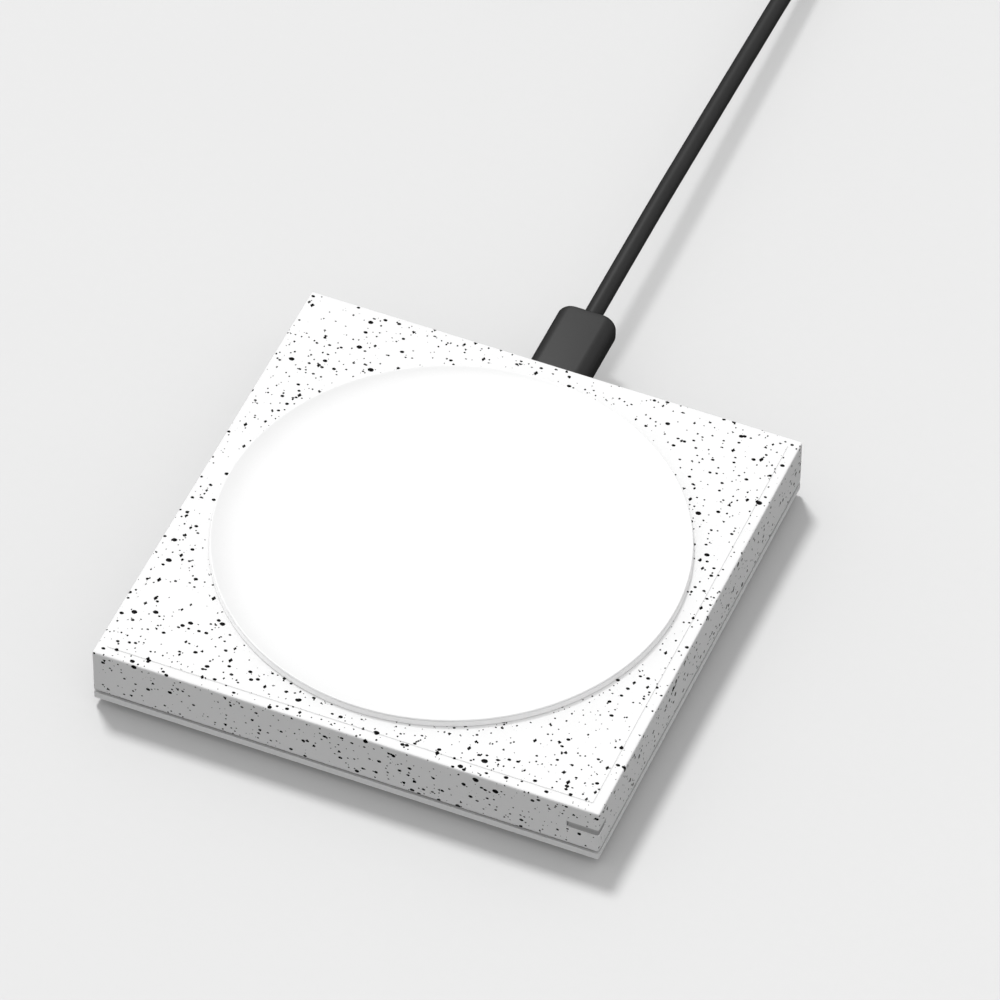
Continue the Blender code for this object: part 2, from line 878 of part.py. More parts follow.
def make_tie():
    """A flat band round the bundle of turns, at the coil's far side."""
    inner_radius = cord_coil_outer_radius - cord_turn_pitch * cord_turns_each_layer - cord_dip
    near = cord_coil_reach + inner_radius - cord_radius - tie_slack
    far = cord_coil_reach + cord_coil_outer_radius + cord_radius + tie_slack
    low = coil_floor_level - cord_radius - clearance
    high = coil_floor_level + cord_layer_pitch + cord_radius + clearance
    left = -cord_coil_outer_radius - tie_width / 2
    shape = bmesh.new()
    add_rounded_bar(
        shape,
        (left, near - tie_thickness, low - tie_thickness),
        (left + tie_width, far + tie_thickness, high + tie_thickness),
        0,
        cord_radius + tie_thickness / 2,
        segments=4,
    )
    tie = mesh_object("cord_tie", shape, parts, rubber)
    shape = bmesh.new()
    add_rounded_bar(
        shape,
        (left - tie_width, near, low),
        (left + 2 * tie_width, far, high),
        0,
        cord_radius - tie_thickness / 2,
        segments=4,
    )
    return combine(tie, helper_object("tie_inside", shape, helpers), "DIFFERENCE")


def make_far_plug(x, rear, level):
    front = rear - far_plug_length
    shape = bmesh.new()
    add_soft_box(
        shape,
        (x - far_plug_width / 2, front, level - far_plug_height / 2),
        (x + far_plug_width / 2, rear, level + far_plug_height / 2),
        far_plug_round,
        segments=3,
    )
    body = mesh_object("far_plug_body", shape, parts, cord_black)

    shell_rear = front - bond_gap
    shell_front = shell_rear - far_shell_length
    half_width = far_shell_width / 2
    half_height = far_shell_height / 2
    shape = bmesh.new()
    add_box(
        shape,
        (x - half_width, shell_front, level - half_height),
        (x + half_width, shell_rear, level + half_height),
    )
    shell = mesh_object("far_plug_shell", shape, parts, steel, smooth=False)
    shape = bmesh.new()
    add_box(
        shape,
        (x - half_width + far_shell_wall, shell_front - wall, level - half_height + far_shell_wall),
        (x + half_width - far_shell_wall, shell_rear - far_shell_wall, level + half_height - far_shell_wall),
    )
    combine(shell, helper_object("far_shell_inside", shape, helpers), "DIFFERENCE")

    insert_low = level - half_height + far_shell_wall + bond_gap
    shape = bmesh.new()
    add_box(
        shape,
        (x - half_width + far_shell_wall + bond_gap, shell_front + far_insert_setback, insert_low),
        (
            x + half_width - far_shell_wall - bond_gap,
            shell_rear - far_shell_wall - bond_gap,
            insert_low + far_insert_thickness,
        ),
    )
    insert = mesh_object("far_plug_insert", shape, parts, base_plastic, smooth=False)
    return [body, shell, insert]


def ride_on_plug(pieces):
    """The cord's pieces hang on an empty at the port, which the plug slides out of."""
    port = bpy.data.objects.new("port_axis", None)
    port.location = (0.0, back_face, port_level)
    port.empty_display_size = plug_width
    parts.objects.link(port)
    for piece in pieces:
        piece.parent = port
        piece.matrix_parent_inverse = Matrix.Translation(-port.location)


clear_scene()
parts = new_collection("wireless_charging_pad")
helpers = new_collection("cutters")

speckled_plastic = new_material("speckled_plastic", (0.86, 0.86, 0.85), 0.45)
base_plastic = new_material("base_plastic", (0.78, 0.78, 0.77), 0.5)
silicone = new_material("silicone", (0.9, 0.9, 0.9), 0.6)
rubber = new_material("rubber", (0.03, 0.03, 0.03), 0.8)
black_plastic = new_material("black_plastic", (0.02, 0.02, 0.022), 0.45)
cord_black = new_material("cord_black", (0.03, 0.03, 0.032), 0.5)
steel = new_material("steel", (0.65, 0.65, 0.66), 0.3, 1.0)
copper = new_material("copper", (0.72, 0.36, 0.2), 0.35, 1.0)
ferrite = new_material("ferrite", (0.05, 0.05, 0.055), 0.6)
ceramic = new_material("ceramic", (0.6, 0.52, 0.42), 0.4)
board_green = new_material("board_green", (0.02, 0.16, 0.07), 0.4)
smoked_plastic = new_material("smoked_plastic", (0.3, 0.3, 0.31), 0.3)
adhesive = new_material("adhesive", (0.7, 0.7, 0.68), 0.6)

make_top_housing()
make_charging_pad()
make_pad_adhesive()
make_base_cover()
make_feet_and_screws()
make_circuit_board()
make_socket()
make_components()
make_status_light()
make_charging_coil()
ride_on_plug([*make_plug(), *make_cord()])
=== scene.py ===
# %% [markdown]
# # A wireless charging pad
#
# A square white pad with black specks carries a round silicone disc. A thin black cord is plugged into its
# back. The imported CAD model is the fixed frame: it says where every piece is, in metres, and this script
# gives each piece its finished surface and its material.

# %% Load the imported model
import json
import math

import bpy
import numpy as np
from mathutils import Euler, Matrix, Vector


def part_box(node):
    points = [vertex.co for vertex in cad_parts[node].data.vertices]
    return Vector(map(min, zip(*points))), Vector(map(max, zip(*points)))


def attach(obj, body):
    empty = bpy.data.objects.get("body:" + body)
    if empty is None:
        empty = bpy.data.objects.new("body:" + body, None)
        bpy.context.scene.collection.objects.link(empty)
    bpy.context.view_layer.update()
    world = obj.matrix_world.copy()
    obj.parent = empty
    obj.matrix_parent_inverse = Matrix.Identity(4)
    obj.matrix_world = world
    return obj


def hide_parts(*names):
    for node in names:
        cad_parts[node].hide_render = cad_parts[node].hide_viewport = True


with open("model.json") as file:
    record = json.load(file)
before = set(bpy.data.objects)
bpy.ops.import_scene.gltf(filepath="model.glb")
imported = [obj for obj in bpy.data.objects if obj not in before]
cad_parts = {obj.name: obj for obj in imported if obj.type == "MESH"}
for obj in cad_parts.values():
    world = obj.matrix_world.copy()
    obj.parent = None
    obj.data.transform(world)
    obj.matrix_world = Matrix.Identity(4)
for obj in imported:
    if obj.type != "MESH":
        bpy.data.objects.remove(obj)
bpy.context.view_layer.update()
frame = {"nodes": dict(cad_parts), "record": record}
nodes = frame["nodes"]
mm = 0.001

# %% [markdown]
# ## The camera
#
# The picture was taken with a very long lens from the front right, looking down at 47 degrees. A camera
# could be placed by eye, but here its place, its heading and its small roll come from fitting the pad's
# corners, so edges fall where they do in the picture. A long lens far away keeps the edges nearly parallel.

# %% Camera
camera_place = Vector((0.40983, -0.97386, 1.16165))
camera_heading = math.radians(-22.343)
camera_elevation = math.radians(47.052)
camera_roll = math.radians(0.6135)
camera_lens = 304.4
sensor_width = 36.0

right = Vector((math.cos(camera_heading), -math.sin(camera_heading), 0.0))
forward = Vector((
    math.sin(camera_heading) * math.cos(camera_elevation),
    math.cos(camera_heading) * math.cos(camera_elevation),
    -math.sin(camera_elevation),
))
up = right.cross(forward)
across = math.cos(camera_roll) * right + math.sin(camera_roll) * up
upward = math.cos(camera_roll) * up - math.sin(camera_roll) * right

camera = bpy.data.objects.new("camera", bpy.data.cameras.new("camera"))
camera.data.lens = camera_lens
camera.data.sensor_width = sensor_width
turned = Matrix((across, upward, -forward)).transposed().to_4x4()
camera.matrix_world = Matrix.Translation(camera_place) @ turned
bpy.context.scene.collection.objects.link(camera)
bpy.context.scene.camera = camera
print("camera", round(camera_place.length, 3), "m from the pad")

# %% [markdown]
# ## Helpers for surfaces
#
# The round pieces could be pulled from Blender's own discs and tubes, but a formula gives their exact
# profile. So a new piece is a grid of points, worked out as whole arrays, and each row of the grid is a
# closed ring. A disc is made of rings of growing radius, a plug of rounded rectangles, a wire of small
# circles along its path. The first and the last ring are closed with a fan, or the last ring joins the
# first.

# %% Surface helpers
def ring_faces(rows, around):
    """Quads between ring i and ring i + 1, and between point j and point j + 1 of each ring."""
    i, j = np.meshgrid(np.arange(rows - 1), np.arange(around), indexing="ij")
    k = (j + 1) % around
    quads = np.stack([i * around + j, i * around + k, (i + 1) * around + k, (i + 1) * around + j], axis=-1)
    return quads.reshape(-1, 4)


def surface(name, rings, material, body, sharp=40.0, joined=False):
    """A closed mesh from an array of rings (rows, points, xyz): joined makes the last ring the first."""
    rows, around, _ = rings.shape
    points = rings.reshape(-1, 3)
    if joined:
        points = points[:-around]
        quads = ring_faces(rows, around) % len(points)
        faces = quads.tolist()
    else:
        faces = ring_faces(rows, around).tolist()
        j = np.arange(around)
        k = (j + 1) % around
        last = (rows - 1) * around
        points = np.vstack([points, rings[0].mean(axis=0), rings[-1].mean(axis=0)])
        faces += np.stack([k, j, np.full(around, rows * around)], axis=-1).tolist()
        faces += np.stack([last + j, last + k, np.full(around, rows * around + 1)], axis=-1).tolist()
    mesh = bpy.data.meshes.new(name)
    mesh.from_pydata(points.tolist(), [], faces)
    mesh.materials.append(material)
    mesh.shade_smooth()
    mesh.set_sharp_from_angle(angle=math.radians(sharp))
    made = bpy.data.objects.new(name, mesh)
    bpy.context.scene.collection.objects.link(made)
    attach(made, body)
    print(name, len(faces), "faces")
    return made


def turned_rings(profile, steps, centre=(0.0, 0.0)):
    """A profile of (radius, height) turned about a vertical axis: (r cos a, r sin a, h)."""
    profile = np.asarray(profile, float)
    angle = -np.linspace(0.0, 2 * math.pi, steps, endpoint=False)
    radius = profile[:, :1]
    height = np.repeat(profile[:, 1:], steps, axis=1)
    return np.stack(
        [centre[0] + radius * np.cos(angle), centre[1] + radius * np.sin(angle), height], axis=-1
    )


def arc(start, end, count):
    """Angles from start to end in degrees, as an array of radians."""
    return np.radians(np.linspace(start, end, count))


# %% [markdown]
# ## Helpers for materials
#
# Colours are written as they are seen, in sRGB hex, and turned to linear light once. A material is a small
# graph of nodes, and one function adds a node with its settings and its links. Patterns read Object
# coordinates, which are metres here because every object sits at the origin, so a grain of one millimetre
# needs a scale of one thousand.

# %% Material helpers
def linear(colour):
    """sRGB hex to linear: c / 12.92 for dark values, and ((c + 0.055) / 1.055) ** 2.4 for the rest."""
    srgb = np.array([int(colour[place:place + 2], 16) for place in (1, 3, 5)]) / 255
    light = np.where(srgb <= 0.04045, srgb / 12.92, ((srgb + 0.055) / 1.055) ** 2.4)
    return (*light.tolist(), 1.0)


def add_node(material, kind, inputs=None, **settings):
    """One node: settings are its own properties, and an input takes a value or another node's output."""
    tree = material.node_tree
    node = tree.nodes.new(kind)
    for name, value in settings.items():
        setattr(node, name, value)
    for name, value in (inputs or {}).items():
        if isinstance(value, bpy.types.NodeSocket):
            tree.links.new(value, node.inputs[name])
        else:
            node.inputs[name].default_value = value
    return node


def new_material(name, **sockets):
    """A material with its Principled shader, whose constant sockets are set by name."""
    made = bpy.data.materials.new(name)
    made.use_nodes = True
    shader = made.node_tree.nodes["Principled BSDF"]
    for socket, value in sockets.items():
        shader.inputs[socket.replace("_", " ")].default_value = value
    return made, shader


def per_metre(millimetres):
    """The scale of a texture whose features are that many millimetres apart."""
    return 1000.0 / millimetres


def grained(name, light, dark, grain, relief, rough_low, rough_high, **sockets):
    """A moulded or cast finish: a fine grain that shifts colour and roughness and lifts the surface."""
    broad_grain = 40 * grain
    made, shader = new_material(name, **sockets)
    place = add_node(made, "ShaderNodeTexCoord").outputs["Object"]
    fine = add_node(
        made,
        "ShaderNodeTexNoise",
        {"Vector": place, "Scale": per_metre(grain), "Detail": 3.0, "Roughness": 0.6},
    )
    broad = add_node(
        made, "ShaderNodeTexNoise", {"Vector": place, "Scale": per_metre(broad_grain), "Detail": 2.0}
    )
    both = add_node(
        made, "ShaderNodeMath", {0: fine.outputs["Fac"], 1: broad.outputs["Fac"]}, operation="MULTIPLY"
    )
    ramp = add_node(
        made, "ShaderNodeMapRange", {"Value": both.outputs[0], "From Min": 0.1, "From Max": 0.4}
    )
    tint = add_node(
        made,
        "ShaderNodeMix",
        {"Factor": ramp.outputs[0], "A": linear(dark), "B": linear(light)},
        data_type="RGBA",
    )
    rough = add_node(
        made,
        "ShaderNodeMapRange",
        {
            "Value": fine.outputs["Fac"],
            "From Min": 0.3,
            "From Max": 0.7,
            "To Min": rough_low,
            "To Max": rough_high,
        },
    )
    lift = add_node(
        made, "ShaderNodeBump", {"Height": fine.outputs["Fac"], "Strength": 0.5, "Distance": relief * mm}
    )
    links = made.node_tree.links
    links.new(tint.outputs[2], shader.inputs["Base Color"])
    links.new(rough.outputs[0], shader.inputs["Roughness"])
    links.new(lift.outputs[0], shader.inputs["Normal"])
    return made


def paint_light_and_shade_by_height(material, low, high, shade):
    """Paint shade or light into a finish between two heights: share = (z - low) / (high - low)."""
    shader = material.node_tree.nodes["Principled BSDF"]
    own_colour = shader.inputs["Base Color"].links[0].from_socket
    place = add_node(material, "ShaderNodeTexCoord").outputs["Object"]
    height = add_node(material, "ShaderNodeSeparateXYZ", {"Vector": place}).outputs["Z"]
    share = add_node(material, "ShaderNodeMapRange", {"Value": height, "From Min": low, "From Max": high})
    mixed = add_node(
        material,
        "ShaderNodeMix",
        {"Factor": share.outputs[0], "A": own_colour, "B": linear(shade)},
        data_type="RGBA",
    )
    material.node_tree.links.new(mixed.outputs[2], shader.inputs["Base Color"])
    return material


# %% [markdown]
# ## The cord
#
# The cord is a soft vinyl lead, 3.5 mm thick and about a metre long. It leaves the plug straight back and
# slowly comes down, and it leaves the picture before it reaches the table. The rest of it lies behind, out
# of the picture, wound for storage into a coil of two layers that a band holds. It is one curve with a
# round bevel, because a bevelled curve keeps its thickness in every bend.

# %% Cord materials
# Soft vinyl, extruded or moulded over the plug: satin black, and dark grey where it faces the lamp
soft_vinyl = grained(
    "soft_vinyl", "#363636", "#323232", grain=0.25, relief=0.01, rough_low=0.36, rough_high=0.44,
)
# Nitrile rubber, pressed: blacker and duller than the vinyl
nitrile_rubber = grained(
    "nitrile_rubber", "#2B2B2B", "#202020", grain=0.3, relief=0.03, rough_low=0.7, rough_high=0.85,
)
print("cord finishes:", soft_vinyl.name, nitrile_rubber.name)

# %% Cord route
cord_diameter = 3.5 * mm
clearance = 0.3 * mm
port_level = 10.1 * mm
plug_rear = 66.8 * mm
cord_floor_level = 2.6 * mm
coil_radius = 26.0 * mm
coil_reach = 230.0 * mm
coil_turns_each_layer = 3
coil_pitch = 4.0 * mm
coil_dip = 1.2 * mm
tail_length = 24.0 * mm
far_plug_level = 4.05 * mm
cord_inside_plug = 1.0 * mm
lead_drops = np.array([
    (0.0, 0.0),
    (12.0, 0.0),
    (24.0, -0.1),
    (36.0, -0.3),
    (48.0, -0.75),
    (61.0, -1.3),
    (74.0, -1.85),
    (86.0, -2.4),
    (98.0, -2.95),
    (112.0, -4.0),
    (126.0, -5.6),
    (139.0, -6.9),
]) * mm


def smooth_path(points, steps):
    """A Catmull-Rom curve: between two points, a cubic whose slope at each follows its neighbours."""
    given = np.asarray(points, float)
    padded = np.vstack([2 * given[0] - given[1], given, 2 * given[-1] - given[-2]])
    spans = np.stack([padded[:-3], padded[1:-2], padded[2:-1], padded[3:]], axis=1)
    t = np.linspace(0.0, 1.0, steps, endpoint=False)
    weights = 0.5 * np.stack(
        [-t + 2 * t**2 - t**3, 2 - 5 * t**2 + 3 * t**3, t + 4 * t**2 - 3 * t**3, -(t**2) + t**3], axis=1
    )
    curve = np.einsum("tw,swx->stx", weights, spans).reshape(-1, 3)
    return np.vstack([curve, given[-1]])


def wound_path(centre, outer_radius, turn_pitch, turns, layer_pitch, dip, way, per_turn):
    """Spirals in on the lower layer, climbs in half a turn, spirals out above: r, z follow the turn."""
    turn = np.linspace(0.0, 2 * turns + 0.5, round((2 * turns + 0.5) * per_turn) + 1)
    climb = np.clip((turn - turns) / 0.5, 0.0, 1.0)
    inward = np.minimum(turn, turns)
    outward = np.maximum(turn - turns - 0.5, 0.0)
    radius = outer_radius - turn_pitch * (inward - outward) - dip * np.sin(math.pi * climb)
    angle = way * 2 * math.pi * turn
    height = layer_pitch * climb**2 * (3 - 2 * climb)
    return np.column_stack([radius * np.cos(angle), radius * np.sin(angle), height]) + np.array(centre)


lead_start = plug_rear + clearance
lead_end = coil_reach - cord_diameter - clearance
lead_run = lead_start + lead_drops[:, 0]
lead = np.column_stack([np.zeros(len(lead_run)), lead_run, port_level + lead_drops[:, 1]])
lead = np.vstack([
    lead,
    (0.0, lead_end - cord_diameter, cord_floor_level),
    (0.0, lead_end, cord_floor_level),
])
coil = wound_path(
    centre=(-coil_radius, coil_reach, cord_floor_level),
    outer_radius=coil_radius,
    turn_pitch=coil_pitch,
    turns=coil_turns_each_layer,
    layer_pitch=coil_pitch,
    dip=coil_dip,
    way=1,
    per_turn=48,
)
tail_x = -2 * coil_radius
tail_top = cord_floor_level + coil_pitch
tail_end = lead_end - tail_length
tail = np.array([
    (tail_x, lead_end, tail_top),
    (tail_x, lead_end - cord_diameter, tail_top),
    (tail_x, lead_end - tail_length / 2, (tail_top + far_plug_level) / 2),
    (tail_x, tail_end + cord_diameter, far_plug_level),
    (tail_x, tail_end, far_plug_level),
])
cord_path = np.vstack([
    (0.0, plug_rear - cord_inside_plug, port_level),
    smooth_path(lead, 4),
    coil,
    smooth_path(tail, 5),
    (tail_x, tail_end - clearance - cord_inside_plug, far_plug_level),
])
cord_measured = np.linalg.norm(np.diff(cord_path, axis=0), axis=1).sum()
print("cord", round(float(cord_measured), 3), "m,", len(cord_path), "points")

# %% Cord curve
cord_curve = bpy.data.curves.new("cord", "CURVE")
cord_curve.dimensions = "3D"
cord_curve.bevel_depth = cord_diameter / 2
cord_curve.bevel_resolution = 5
cord_curve.use_fill_caps = True
spline = cord_curve.splines.new("POLY")
spline.points.add(len(cord_path) - 1)
spline.points.foreach_set("co", np.column_stack([cord_path, np.ones(len(cord_path))]).ravel())
spline.use_smooth = True
cord_curve.materials.append(soft_vinyl)
cord = bpy.data.objects.new("cord", cord_curve)
bpy.context.scene.collection.objects.link(cord)
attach(cord, "cable")
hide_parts("cord_lead", "cord_coil", "cord_tail")
print("cord curve with", len(spline.points), "points")

# %% [markdown]
# ## The plugs' overmoulds
#
# The plug is a block of the same vinyl moulded over its metal nose. Its top and bottom are flat and its
# sides are well rounded. Seen from above its rear corners are rounded with a clear radius, while the edge
# between its top and its rear face stays crisp. A box with a Bevel modifier would give all these edges
# one radius. So the plug is a row of rounded rectangles along its length: near the rear the width follows
# a quarter circle, and the height follows a much smaller one. The far plug is made in the same way.

# %% Plug overmoulds
def rounded_rings(along, width, height, radius, corner_points=10):
    """Rounded rectangles in X and Z, one at each place along Y: corner centre + r (cos a, sin a)."""
    width, height, radius = (np.broadcast_to(size, along.shape)[:, None] for size in (width, height, radius))
    quarter = np.repeat(np.arange(4), corner_points) * 90.0
    angle = np.radians(quarter + np.tile(np.linspace(0.0, 90.0, corner_points), 4))
    side = np.repeat([1, -1, -1, 1], corner_points)
    top = np.repeat([1, 1, -1, -1], corner_points)
    x = side * (width / 2 - radius) + radius * np.cos(angle)
    z = top * (height / 2 - radius) + radius * np.sin(angle)
    return np.stack([x, np.repeat(along[:, None], x.shape[1], axis=1), z], axis=-1)


def quarter_round(depth, radius):
    """How far a rounded edge has drawn in, at a depth inside the end face: r - sqrt(r^2 - (r - depth)^2)."""
    short = np.clip(radius - depth, 0.0, radius)
    return radius - np.sqrt(np.maximum(radius**2 - short**2, 0.0))


def overmould(name, front, rear, width, height, side_round, front_plan, rear_plan, edge, centre, material):
    """A plug's body from its front to its rear along Y: plan rounds each end in width, edge in height."""
    just_past = 1.02
    least_flat = 0.02 * mm
    length = rear - front
    turn = 1 - np.cos(arc(0.0, 90.0, 16))
    from_front = np.concatenate([front_plan * turn, [front_plan * just_past]])
    from_rear = np.concatenate([[rear_plan * just_past], (rear_plan * turn)[::-1]])
    fine_front = edge * turn
    fine_rear = length - edge * turn
    depth = np.unique(np.concatenate([from_front, fine_front, length - from_rear, fine_rear]))
    inset = quarter_round(depth, front_plan) + quarter_round(length - depth, rear_plan)
    drop = quarter_round(depth, edge) + quarter_round(length - depth, edge)
    heights = height - 2 * drop
    widths = width - 2 * inset
    radius = np.minimum(side_round, 0.5 * np.minimum(heights, widths) - least_flat)
    rings = rounded_rings(depth, widths, heights, radius)
    rings += np.array([centre[0], front, centre[1]])
    return surface(name, rings[:, ::-1], material, "cable", sharp=50.0)


plug_front = 50.3 * mm
plug = overmould(
    "plug_overmould",
    front=plug_front,
    rear=plug_rear,
    width=11.8 * mm,
    height=6.4 * mm,
    side_round=2.4 * mm,
    front_plan=0.3 * mm,
    rear_plan=1.3 * mm,
    edge=0.35 * mm,
    centre=(0.0, port_level),
    material=soft_vinyl,
)
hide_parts("plug_body")
far_plug_length = 24.0 * mm
far_plug_rear = tail_end - clearance
far_plug = overmould(
    "far_plug_overmould",
    front=far_plug_rear - far_plug_length,
    rear=far_plug_rear,
    width=15.6 * mm,
    height=8.0 * mm,
    side_round=2.4 * mm,
    front_plan=0.8 * mm,
    rear_plan=3.5 * mm,
    edge=0.6 * mm,
    centre=(tail_x, far_plug_level),
    material=soft_vinyl,
)
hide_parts("far_plug_body")

# %% [markdown]
# ## The band round the spare cord
#
# A flat rubber band holds the coil's turns together at its far side. A bent strip with a Solidify modifier
# would have sharp edges, so it is a bar with rounded edges, carried round a rounded rectangle that encloses
# the two layers of turns. At that place, a quarter of a turn round, the outermost turn has come in by a
# quarter of the pitch.

# %% Band
tie_width = 6.0 * mm
tie_thickness = 0.5 * mm
tie_slack = 0.5 * mm
tie_fit = 0.15 * mm
bundle_inside = coil_radius - coil_pitch * coil_turns_each_layer - coil_dip
tie_near = coil_reach + bundle_inside - cord_diameter / 2 - tie_slack
tie_far = coil_reach + coil_radius - coil_pitch / 4 + cord_diameter / 2 + tie_fit
tie_low = cord_floor_level - cord_diameter / 2 - clearance
tie_high = cord_floor_level + coil_pitch + cord_diameter / 2 + clearance


def band_rings(near, far, low, high, bend, width, thickness, x, steps=12, section_points=16):
    """A bar's section, across X and out along the loop's normal, round a rounded rectangle in Y and Z."""
    width_power = 0.4
    thickness_power = 0.6
    quarter = np.repeat(np.arange(4), steps) * 90.0
    angle = np.radians(quarter + np.tile(np.linspace(0.0, 90.0, steps), 4))
    side = np.repeat([1, -1, -1, 1], steps)
    top = np.repeat([1, 1, -1, -1], steps)
    middle_y = (near + far) / 2
    middle_z = (low + high) / 2
    y = middle_y + side * ((far - near) / 2 - bend) + bend * np.cos(angle)
    z = middle_z + top * ((high - low) / 2 - bend) + bend * np.sin(angle)
    section = arc(0.0, 360.0, section_points + 1)[:-1]
    across_band = width / 2 * np.sign(np.cos(section)) * np.abs(np.cos(section)) ** width_power
    bulge = np.sign(np.sin(section)) * np.abs(np.sin(section)) ** thickness_power
    out_of_band = thickness / 2 * (1 + bulge)
    rings = np.stack([
        np.broadcast_to(x + across_band, (len(angle), section_points)),
        y[:, None] + out_of_band * np.cos(angle)[:, None],
        z[:, None] + out_of_band * np.sin(angle)[:, None],
    ], axis=-1)
    return np.concatenate([rings, rings[:1]])


tie = surface(
    "cord_band",
    band_rings(
        tie_near, tie_far, tie_low, tie_high, cord_diameter / 2, tie_width, tie_thickness, -coil_radius
    ),
    nitrile_rubber, "cable", joined=True,
)
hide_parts("cord_tie")

# %% [markdown]
# ## The silicone disc
#
# The disc is bare white silicone rubber, pressed in a mould. Its top is dished, so a phone settles in the
# middle: it is flat for most of its width and rises ever faster near the rim, with the fourth power of the
# distance. Its edge leans in a little, as a moulded edge does, and a fine groove runs round it just below
# the rim. A flattened cylinder would have none of this, so the disc is one profile turned about the pad's
# axis, with many more steps than the CAD solid so that the rim is smooth.

# %% Silicone
# Silicone rubber: soft and satin, nearly white, with a faint bloom that makes its gloss uneven
silicone_rubber = grained(
    "silicone_rubber", "#E8E8E8", "#E6E6E6", grain=0.35, relief=0.006, rough_low=0.38, rough_high=0.46,
    Specular_IOR_Level=0.3,
)
print("disc finish:", silicone_rubber.name)

# %% Disc
disc_low, disc_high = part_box("charging_pad")
disc_draft = 0.15 * mm
disc_edge = 0.2 * mm
dish_depth = 0.86 * mm
dish_width = 8.0 * mm
dish_power = 4
groove_drop = 0.26 * mm
groove_width = 0.14 * mm
groove_depth = 0.12 * mm
hollow_height = 0.24 * mm
hollow_margin = 0.7 * mm
flat_rings = 12
dish_rings = 24
disc_steps = 256

rim_radius = disc_high.x - disc_draft
dish_floor = disc_high.z - dish_depth
dish_start = rim_radius - disc_edge - dish_width
flat_part = np.column_stack([
    np.linspace(0.05, 1.0, flat_rings) * dish_start, np.full(flat_rings, dish_floor),
])
share = np.linspace(0.0, 1.0, dish_rings)[1:]
dish_part = np.column_stack([
    dish_start + dish_width * share, dish_floor + dish_depth * share**dish_power,
])
bend = arc(0.0, 90.0, 10)[1:]
edge_part = np.column_stack([
    rim_radius - disc_edge * (1 - np.sin(bend)), disc_high.z - disc_edge * (1 - np.cos(bend)),
])
hollow_radius = disc_high.x - hollow_margin
groove_top = disc_high.z - groove_drop
under_part = np.array([
    (rim_radius, groove_top),
    (rim_radius - groove_depth, groove_top),
    (rim_radius - groove_depth, groove_top - groove_width),
    (rim_radius, groove_top - groove_width),
    (disc_high.x, disc_low.z),
    (hollow_radius, disc_low.z),
    (hollow_radius, disc_low.z + hollow_height),
    (0.5 * hollow_radius, disc_low.z + hollow_height),
])
disc = surface(
    "silicone_disc",
    turned_rings(np.vstack([flat_part, dish_part, edge_part, under_part]), disc_steps),
    silicone_rubber, "pad", sharp=60.0,
)
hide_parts("charging_pad")

# %% [markdown]
# ## The speckled housing
#
# The housing is white ABS with black flakes mixed into it before moulding, so the specks lie in the
# plastic itself and show as cut flakes on the top and on the sides alike. They could be painted on as
# dots, but a solid pattern goes round the edges as the real one does: each layer fills space with small
# stretched grains, one to a cell, and the surface cuts them. Four sizes are mixed, three of round grains
# and one of tilted boxes, and in each layer only a share of the cells holds a grain. A little waver makes
# their edges uneven.

# %% Speckled plastic
# Speckled ABS, moulded against a smooth tool: matt white with black flakes cut at the surface
speckled_abs, speckled_shader = new_material("speckled_abs", Specular_IOR_Level=0.05)
place = add_node(speckled_abs, "ShaderNodeTexCoord").outputs["Object"]
waver_length = 0.6
waver_shift = 0.14 * mm
waver = add_node(
    speckled_abs,
    "ShaderNodeTexNoise",
    {"Vector": place, "Scale": per_metre(waver_length), "Detail": 1.0},
)
shift = add_node(
    speckled_abs,
    "ShaderNodeVectorMath",
    {0: waver.outputs["Color"], "Scale": waver_shift},
    operation="SCALE",
)
wavy_place = add_node(
    speckled_abs, "ShaderNodeVectorMath", {0: place, 1: shift.outputs[0]}, operation="ADD"
).outputs[0]

# %% Flakes
# Each layer: form, cell and greatest half width in mm, share of cells held, turn in degrees, stretch
flake_layers = [
    ("EUCLIDEAN", 0.85, 0.21, 0.7, (20, 35, 50), (1.0, 1.15, 0.9)),
    ("EUCLIDEAN", 1.4, 0.38, 0.85, (40, 15, 80), (1.2, 0.95, 0.9)),
    ("CHEBYCHEV", 1.7, 0.34, 0.6, (70, 55, 10), (0.9, 1.2, 0.95)),
    ("EUCLIDEAN", 2.8, 0.6, 0.6, (15, 65, 35), (1.15, 0.9, 1.0)),
]
flakes = None
for form, cell, half_width, held, turn, stretch in flake_layers:
    tilted = add_node(
        speckled_abs,
        "ShaderNodeMapping",
        {
            "Vector": wavy_place,
            "Rotation": Euler([math.radians(angle) for angle in turn]),
            "Scale": [1.0 / length for length in stretch],
        },
    )
    cells = add_node(
        speckled_abs,
        "ShaderNodeTexVoronoi",
        {"Vector": tilted.outputs[0], "Scale": per_metre(cell), "Randomness": 1.0},
        distance=form,
    )
    draw = add_node(speckled_abs, "ShaderNodeSeparateColor", {"Color": cells.outputs["Color"]})
    size = add_node(
        speckled_abs,
        "ShaderNodeMapRange",
        {
            "Value": draw.outputs["Red"],
            "From Min": 1.0 - held,
            "From Max": 1.0,
            "To Min": 0.0,
            "To Max": half_width / cell,
        },
    )
    inside = add_node(
        speckled_abs,
        "ShaderNodeMath",
        {0: cells.outputs["Distance"], 1: size.outputs[0]},
        operation="LESS_THAN",
    ).outputs[0]
    if flakes is None:
        flakes = inside
    else:
        flakes = add_node(
            speckled_abs, "ShaderNodeMath", {0: flakes, 1: inside}, operation="MAXIMUM"
        ).outputs[0]
print(len(flake_layers), "layers of flakes")

